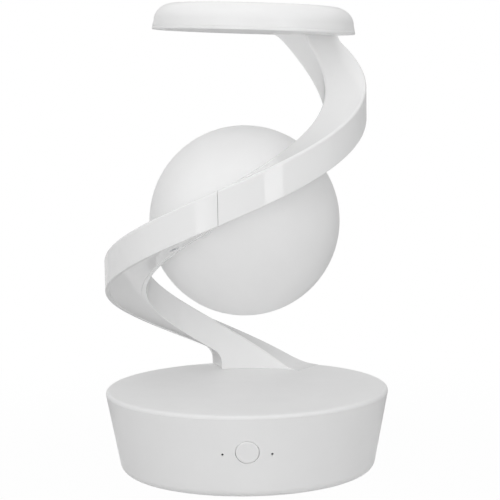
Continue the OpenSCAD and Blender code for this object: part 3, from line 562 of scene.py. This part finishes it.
CORNER_STEPS, EDGE_SHARE = 6, 3
LIP_SHARE, LIP_LEAST, LIP_MOST = 8, 0.02, 0.35
FLAT_MOST, FLAT_SHARE = 0.25, 0.1
FOOT_STEP, ARM_STEP, TOE_STEP, HEEL_STEPS = 0.8, 1.0, 0.7, 12
BEFORE_HEEL, BEFORE_TOE = 0.1, 1
STRIP_ROUND, STRIP_STEPS = 0.08, 4
STRIP_SCREW_A, TOP_SCREW_A = 26.9, 120
STRIP_CUT_OUT, STRIP_CUT_IN = 3, 0.5


def bent(a, outline):
    """An outline of points (across, height), set upright at an angle along the arm."""
    return [(*arm_xy(a, s), z) for s, z in outline]


def arm_ring(a, low, high, edge):
    """The arm's section: a channel that opens downwards, with rounded outer edges."""

    def roof(a, x):
        least = min(low(a, x) + SLIVER, (low(a, x) + high(a, x)) / 2)
        return max(least, high(a, x) - ARM_ROOF)

    mid = arm_xy(a, ARM_W / 2)[0]
    room = high(a, mid) - low(a, mid)
    edge = max(SLIVER, min(edge, room / EDGE_SHARE))
    lip = max(LIP_LEAST, min(LIP_MOST, room / LIP_SHARE))
    corners = [
        (0, low), (0, high), (ARM_W, high), (ARM_W, low),
        (ARM_W - ARM_WALL, low), (ARM_W - ARM_WALL, roof), (ARM_WALL, roof), (ARM_WALL, low),
    ]
    flat = [(s, height(a, arm_xy(a, s)[0])) for s, height in corners]
    outline = rounded(flat, [lip, edge, edge, lip, 0, 0, 0, 0], CORNER_STEPS)
    # Two points near the ends of each long side keep it flat in the light
    for corner in (3, 2, 1):
        i = corner * (CORNER_STEPS + 1)
        p, q = Vector(outline[i - 1]), Vector(outline[i])
        reach = min(FLAT_MOST, FLAT_SHARE * (q - p).length) * (q - p).normalized()
        outline[i:i] = [tuple(p + reach), tuple(q - reach)]
    return bent(a, outline)


def angles(start, end, step):
    n = max(1, math.ceil((end - start) / step))
    return [start + (end - start) * i / n for i in range(n + 1)]


def upper_edge(a):
    """The rounding of the upper half's edges, which ends where the arm meets the head."""
    return min(ARM_ROUND, tray_low(arm_xy(a, ARM_W / 2)[0]) - helix(a) - toe(a))


lower_at = (
    angles(LOWER_FROM, HEEL_AT - BEFORE_HEEL, FOOT_STEP)
    + [HEEL_AT + u * HEEL_A / HEEL_STEPS for u in range(HEEL_STEPS)]
    + angles(HEEL_AT + HEEL_A, SEAM_AT - SEAM_HALF_A, ARM_STEP)
)
upper_at = (
    angles(SEAM_AT + SEAM_HALF_A, TOE_FROM - BEFORE_TOE, ARM_STEP)
    + angles(TOE_FROM, UPPER_TO, TOE_STEP)
)
lower_rings = [arm_ring(a, lower_low, lower_high, ARM_ROUND) for a in lower_at]
place(finish_mesh("spiral_lower", loft(lower_rings)), "lamp", "arm_white", "lower_arm")
upper_rings = [arm_ring(a, upper_low, upper_high, upper_edge(a)) for a in upper_at]
place(finish_mesh("spiral_upper", loft(upper_rings)), "lamp", "arm_white", "upper_arm")


def bar_ring(a, low, high):
    """A strip's section, with a finer gap to the arm's walls than in the part."""
    near, far = ARM_WALL + FIT / 3, ARM_W - ARM_WALL - FIT / 3
    flat = [(near, low), (near, high), (far, high), (far, low)]
    return bent(a, rounded(flat, [STRIP_ROUND, 0, 0, STRIP_ROUND], STRIP_STEPS))


def strip_ring(a, low_of):
    low = low_of(a, arm_xy(a, ARM_W / 2)[0]) + STRIP_INSET
    return bar_ring(a, low, low + STRIP_T)


def screw_hole(name, mouth, step, end, matrix):
    """A cutter for a sunk screw: wide from its mouth to the step, narrow from there to its end."""
    wide, narrow = SCREW_HEAD_R + FIT, SCREW_R + FIT
    profile = [(0, mouth), (wide, mouth), (wide, step), (narrow, step), (narrow, end), (0, end)]
    return finish_mesh(name, revolve(profile, SCREW_FACES, matrix))


def strip_hole(name, a):
    """A screw hole in a strip, square to its slope."""
    m = (
        Matrix.Translation((*arm_xy(a, SCREW_ACROSS), under(a) + STRIP_INSET + STRIP_T))
        @ Matrix.Rotation(math.radians(a), 4, "Z")
        @ Matrix.Rotation(slope(a), 4, "X")
    )
    mouth = -(STRIP_T + STRIP_INSET + STRIP_CUT_OUT)
    return screw_hole(name, mouth, -STRIP_FLOOR, STRIP_CUT_IN, m)


# The lower strip turns down at the heel and closes the foot's end
wall_a = STRIP_T / ARM_MID_R * TURN
inset_a = STRIP_INSET / ARM_MID_R * TURN
wall_top = lower_low(HEEL_AT, 0) + STRIP_INSET + STRIP_T
heel_at = (HEEL_AT - wall_a - inset_a, HEEL_AT - inset_a)
lower_strip = finish_mesh("strip_lower", loft(
    [bar_ring(a, DECK_Z + FIT, wall_top) for a in heel_at]
    + [strip_ring(a, lower_low) for a in lower_at if a >= HEEL_AT]
))
cut(lower_strip, [strip_hole("strip_cut_low", SEAM_AT - STRIP_SCREW_A)])
place(lower_strip, "lamp", "arm_white", "lower_strip")

strip_at = [a for a in upper_at if a < STRIP_END] + [STRIP_END]
upper_strip = finish_mesh("strip_upper", loft([strip_ring(a, upper_low) for a in strip_at]))
cut(upper_strip, [
    strip_hole("strip_cut_up_0", SEAM_AT + STRIP_SCREW_A),
    strip_hole("strip_cut_up_1", SEAM_AT + TOP_SCREW_A),
])
place(upper_strip, "lamp", "arm_white", "upper_strip")

# The globe, turned about its stem

NECK_BEVEL_R, NECK_BEVEL_H = 0.25, 0.3

stem_top = under(STEM_AT) + STRIP_INSET + STRIP_T
stem_mid_z = (stem_top + helix(STEM_AT) - ARM_ROOF) / 2
stem_rise = math.atan((stem_mid_z - GLOBE_Z) / (arm_in(STEM_AT) + ARM_WALL))
at_stem = (
    Matrix.Translation((0, 0, GLOBE_Z))
    @ Matrix.Rotation(math.radians(STEM_AT), 4, "Z")
    @ Matrix.Rotation(math.pi / 2 - stem_rise, 4, "Y")
)
neck_out = math.degrees(math.acos((NECK_R + NECK_BEVEL_R) / GLOBE_R))
neck_in = math.degrees(math.acos(NECK_R / (GLOBE_R - GLOBE_T)))
globe_profile = (
    arc(0, 0, GLOBE_R, -90, neck_out, steps=110)
    + [(NECK_R, GLOBE_R * math.sin(math.radians(neck_out)) - NECK_BEVEL_H)]
    + arc(0, 0, GLOBE_R - GLOBE_T, neck_in, -90, steps=60)
)
globe = finish_mesh("globe_shade", revolve(globe_profile, GLOBE_FACES, at_stem))
place(globe, "lamp", "globe_white", "moon_globe")

# The head: tray and cap with a fine groove between them

GROOVE, TRAY_ROUND, TRAY_FLAT_R = 0.16, 0.5, 20
TRAY_RING_R, TRAY_RING_T, TRAY_RING_H = HEAD_R - CAP_WALL - 1, 1.6, 3
TRAY_SCREWS_AT, TRAY_SCREW_R = (130, 240, 340), HEAD_R - 10
TRAY_CUT_OUT, TRAY_CUT_IN = 0.5, 4
CAP_DRAFT, CAP_FLAT_R = 0.7, 24

at_head = Matrix.Translation((HEAD_SHIFT, 0, TRAY_Z)) @ Matrix.Rotation(LEAN, 4, "Y")
tray_profile = (
    [(0, 0), (TRAY_FLAT_R, 0)]
    + arc(HEAD_R - TRAY_ROUND, TRAY_ROUND, TRAY_ROUND, -90, 0, steps=6)
    + arc(HEAD_R - GROOVE, TRAY_EDGE - GROOVE, GROOVE, 0, 90, steps=3)
    + [
        (TRAY_RING_R, TRAY_EDGE),
        (TRAY_RING_R, TRAY_EDGE + TRAY_RING_H),
        (TRAY_RING_R - TRAY_RING_T, TRAY_EDGE + TRAY_RING_H),
        (TRAY_RING_R - TRAY_RING_T, TRAY_T),
        (0, TRAY_T),
    ]
)
tray = finish_mesh("head_tray_fine", revolve(tray_profile, ROUND_FACES, at_head))
tray_holes = []
for i, a in enumerate(TRAY_SCREWS_AT):
    at_screw = (
        at_head
        @ Matrix.Rotation(math.radians(a), 4, "Z")
        @ Matrix.Translation((TRAY_SCREW_R, 0, 0))
    )
    tray_holes.append(
        screw_hole(f"tray_cut_{i}", -TRAY_CUT_OUT, SCREW_HEAD_T, TRAY_CUT_IN, at_screw)
    )
cut(tray, tray_holes)
place(tray, "lamp", "head_white", "head_tray")

crown_r, crown_z = HEAD_R - CAP_DRAFT - CROWN_W, HEAD_H - CROWN_H
seat_z = TRAY_EDGE + FIT / 3
cap_profile = (
    [(HEAD_R - FIT - GROOVE, seat_z)]
    + arc(HEAD_R - FIT - GROOVE, seat_z + GROOVE, GROOVE, -60, 0, steps=3)
    + ellipse(crown_r, crown_z, CROWN_W, CROWN_H, 0, 90, steps=40)
    + [(CAP_FLAT_R, HEAD_H), (0, HEAD_H), (0, HEAD_H - CAP_WALL)]
    + ellipse(crown_r, crown_z, CROWN_W - CAP_WALL, CROWN_H - CAP_WALL, 90, 0, steps=16)
    + [(HEAD_R - FIT - CAP_WALL, seat_z)]
)
cap = finish_mesh("head_cap_fine", revolve(cap_profile, ROUND_FACES, at_head))
place(cap, "lamp", "head_white", "head_cap")

# Stage: floor, world, lamps, cards and camera; lengths in metres, but for the meshes' millimetres

WHITE = (1, 1, 1, 1)
FLOOR_HALF, FLOOR_GREY = 12000, 0.5
SHADOW_R, FADE_R, SHADOW_SHARE = 0.09, 0.3, 0.98
SKY_LEVEL, SKY_LEAN = 0.4445, (0.0865, 0.0, 0.358)
SEEN_LEVEL = 1.0

scene = bpy.context.scene
scene.view_settings.view_transform = "Standard"


def bare_tree(owner):
    owner.use_nodes = True
    owner.node_tree.nodes.clear()
    return owner.node_tree


def seen_factor(tree):
    """1 for rays from the camera or through gloss and glass, 0 for light that falls on things."""
    path = add_node(tree, "LightPath").outputs
    first = add_node(
        tree, "Math", {0: path["Is Camera Ray"], 1: path["Is Glossy Ray"]}, operation="MAXIMUM"
    )
    both = add_node(
        tree, "Math", {0: first.outputs[0], 1: path["Is Transmission Ray"]}, operation="MAXIMUM"
    )
    return both.outputs[0]


# The floor is seen as white but for a share of its paint near the lamp, which shows the shadow
floor_bm = bmesh.new()
bmesh.ops.create_grid(floor_bm, x_segments=1, y_segments=1, size=FLOOR_HALF)
floor = finish_mesh("floor", floor_bm)
floor_look = bpy.data.materials.new("floor_pale")
tree = bare_tree(floor_look)
away = add_node(tree, "VectorMath", {0: object_coords(tree)}, operation="LENGTH")
fade = add_node(tree, "MapRange", {
    "Value": away.outputs["Value"],
    "From Min": SHADOW_R, "From Max": FADE_R,
    "To Min": SHADOW_SHARE, "To Max": 1.0,
}, interpolation_type="SMOOTHSTEP")
share = add_node(
    tree, "Math", {0: seen_factor(tree), 1: fade.outputs["Result"]}, operation="MULTIPLY"
)
paint = add_node(tree, "BsdfDiffuse", {"Color": (*grey(FLOOR_GREY), 1)})
glow = add_node(tree, "Emission", {"Strength": SEEN_LEVEL})
mix = add_node(
    tree, "MixShader", {"Fac": share.outputs[0], 1: paint.outputs[0], 2: glow.outputs[0]}
)
add_node(tree, "OutputMaterial", {"Surface": mix.outputs[0]})
dress(floor, floor_look)

# The sky's light on things leans towards one side; seen by eye or in gloss it is plain white
world = bpy.data.worlds.new("studio")
scene.world = world
tree = bare_tree(world)
around = add_node(tree, "TexCoord").outputs["Generated"]
lean = add_node(tree, "VectorMath", {0: around, 1: SKY_LEAN}, operation="DOT_PRODUCT")
level = add_node(tree, "Math", {0: lean.outputs["Value"], 1: SKY_LEVEL}, operation="ADD")
sky = add_node(tree, "Background", {"Color": WHITE, "Strength": level.outputs[0]})
back = add_node(tree, "Background", {"Color": WHITE, "Strength": SEEN_LEVEL})
mix = add_node(
    tree, "MixShader", {"Fac": seen_factor(tree), 1: sky.outputs[0], 2: back.outputs[0]}
)
add_node(tree, "OutputWorld", {"Surface": mix.outputs[0]})

AIM = Vector((0, 0, 0.11))


def softbox(name, azimuth, elevation, distance, size, shadow, power):
    """An area lamp that leaves no mark in gloss.

    Its azimuth is measured from the front, positive to the right.
    """
    az, el = math.radians(azimuth), math.radians(elevation)
    flat = math.cos(el)
    where = AIM + distance * Vector((math.sin(az) * flat, -math.cos(az) * flat, math.sin(el)))
    light = bpy.data.lights.new(name, "AREA")
    light.shape = "RECTANGLE"
    light.size, light.size_y = size
    light.energy = power
    light.use_shadow = shadow
    light.cycles.use_multiple_importance_sampling = False
    obj = bpy.data.objects.new(name, light)
    obj.location = where
    obj.rotation_euler = (AIM - where).to_track_quat("-Z", "Y").to_euler()
    obj.visible_camera = False
    obj.visible_glossy = False
    scene.collection.objects.link(obj)


for softbox_values in (
    # name, azimuth, elevation, distance, size, shadow, power
    ("fill_eye", 0, 9, 1.5, (1.0, 0.7), True, 3.12),
    ("fill_high", 0, 45, 1.3, (1.2, 0.8), True, 1.45),
    ("open_left", -75, 25, 1.3, (1.0, 0.8), False, 1.97),
    ("open_top", 0, 80, 1.3, (1.0, 0.8), False, 2.88),
    ("open_low", 0, -25, 1.3, (1.0, 0.8), False, 3.42),
):
    softbox(*softbox_values)

FADE_FROM = 0.35
LYING_Z = 0.5


def card(name, points, fade, level):
    """A card that only gloss sees; towards its right, its level fades to a share of itself."""
    look = bpy.data.materials.new(name)
    tree = bare_tree(look)
    along = add_node(tree, "SeparateXYZ", {0: add_node(tree, "TexCoord").outputs["Generated"]})
    ease = add_node(tree, "MapRange", {
        "Value": along.outputs["X"],
        "From Min": FADE_FROM,
        "To Min": level, "To Max": level * fade,
    })
    sheen = add_node(tree, "Emission", {"Strength": ease.outputs["Result"]})
    add_node(tree, "OutputMaterial", {"Surface": sheen.outputs[0]})
    bm = bmesh.new()
    bm.faces.new([bm.verts.new(p) for p in points])
    obj = dress(finish_mesh(name, bm), look)
    obj.visible_camera = False
    obj.visible_diffuse = False
    obj.visible_transmission = False
    obj.visible_shadow = False


def standing(x0, y0, x1, y1, low, high):
    return [(x0, y0, low), (x1, y1, low), (x1, y1, high), (x0, y0, high)]


def lying(x0, y0, x1, y1):
    return [(x0, y0, LYING_Z), (x1, y0, LYING_Z), (x1, y1, LYING_Z), (x0, y1, LYING_Z)]


# Two strips draw the pale stripes on the arm, the others the dark lines along the edges
card("strip_left", standing(-497, -750, -230, -870, 4, 500), 0.4, 2.45)
card("strip_right", standing(375, -818, 580, -688, 4, 500), 1.0, 3.15)
card("card_left", standing(-450, -50, -115, 250, 0, 350), 1.0, 0.82)
card("card_right", standing(115, 250, 450, -50, 0, 350), 1.0, 0.59)
card("card_over", standing(-115, 250, 115, 250, 150, 350), 1.0, 0.5)
card("card_between", standing(-115, 250, 115, 250, 0, 150), 1.0, 0.44)
card("card_behind", lying(-450, 62, 450, 248), 1.0, 0.325)

# The camera fitted to the photo; its focal length is measured in the photo's pixels
SENSOR, FOCAL_PX, PHOTO_PX = 36, 1650.75, 500
CAMERA_AT, CAMERA_DOWN, CAMERA_ROLL = (0.002306, -0.74808, 0.18502), 6.36, -0.797

camera_data = bpy.data.cameras.new("camera")
camera_data.sensor_width = SENSOR
camera_data.lens = SENSOR * FOCAL_PX / PHOTO_PX
camera_data.clip_start = 0.01
camera_data.clip_end = 100
camera = bpy.data.objects.new("camera", camera_data)
scene.collection.objects.link(camera)
camera.matrix_world = (
    Matrix.Translation(CAMERA_AT)
    @ Matrix.Rotation(math.radians(90 - CAMERA_DOWN), 4, "X")
    @ Matrix.Rotation(math.radians(CAMERA_ROLL), 4, "Z")
)
scene.camera = camera

bpy.context.view_layer.update()
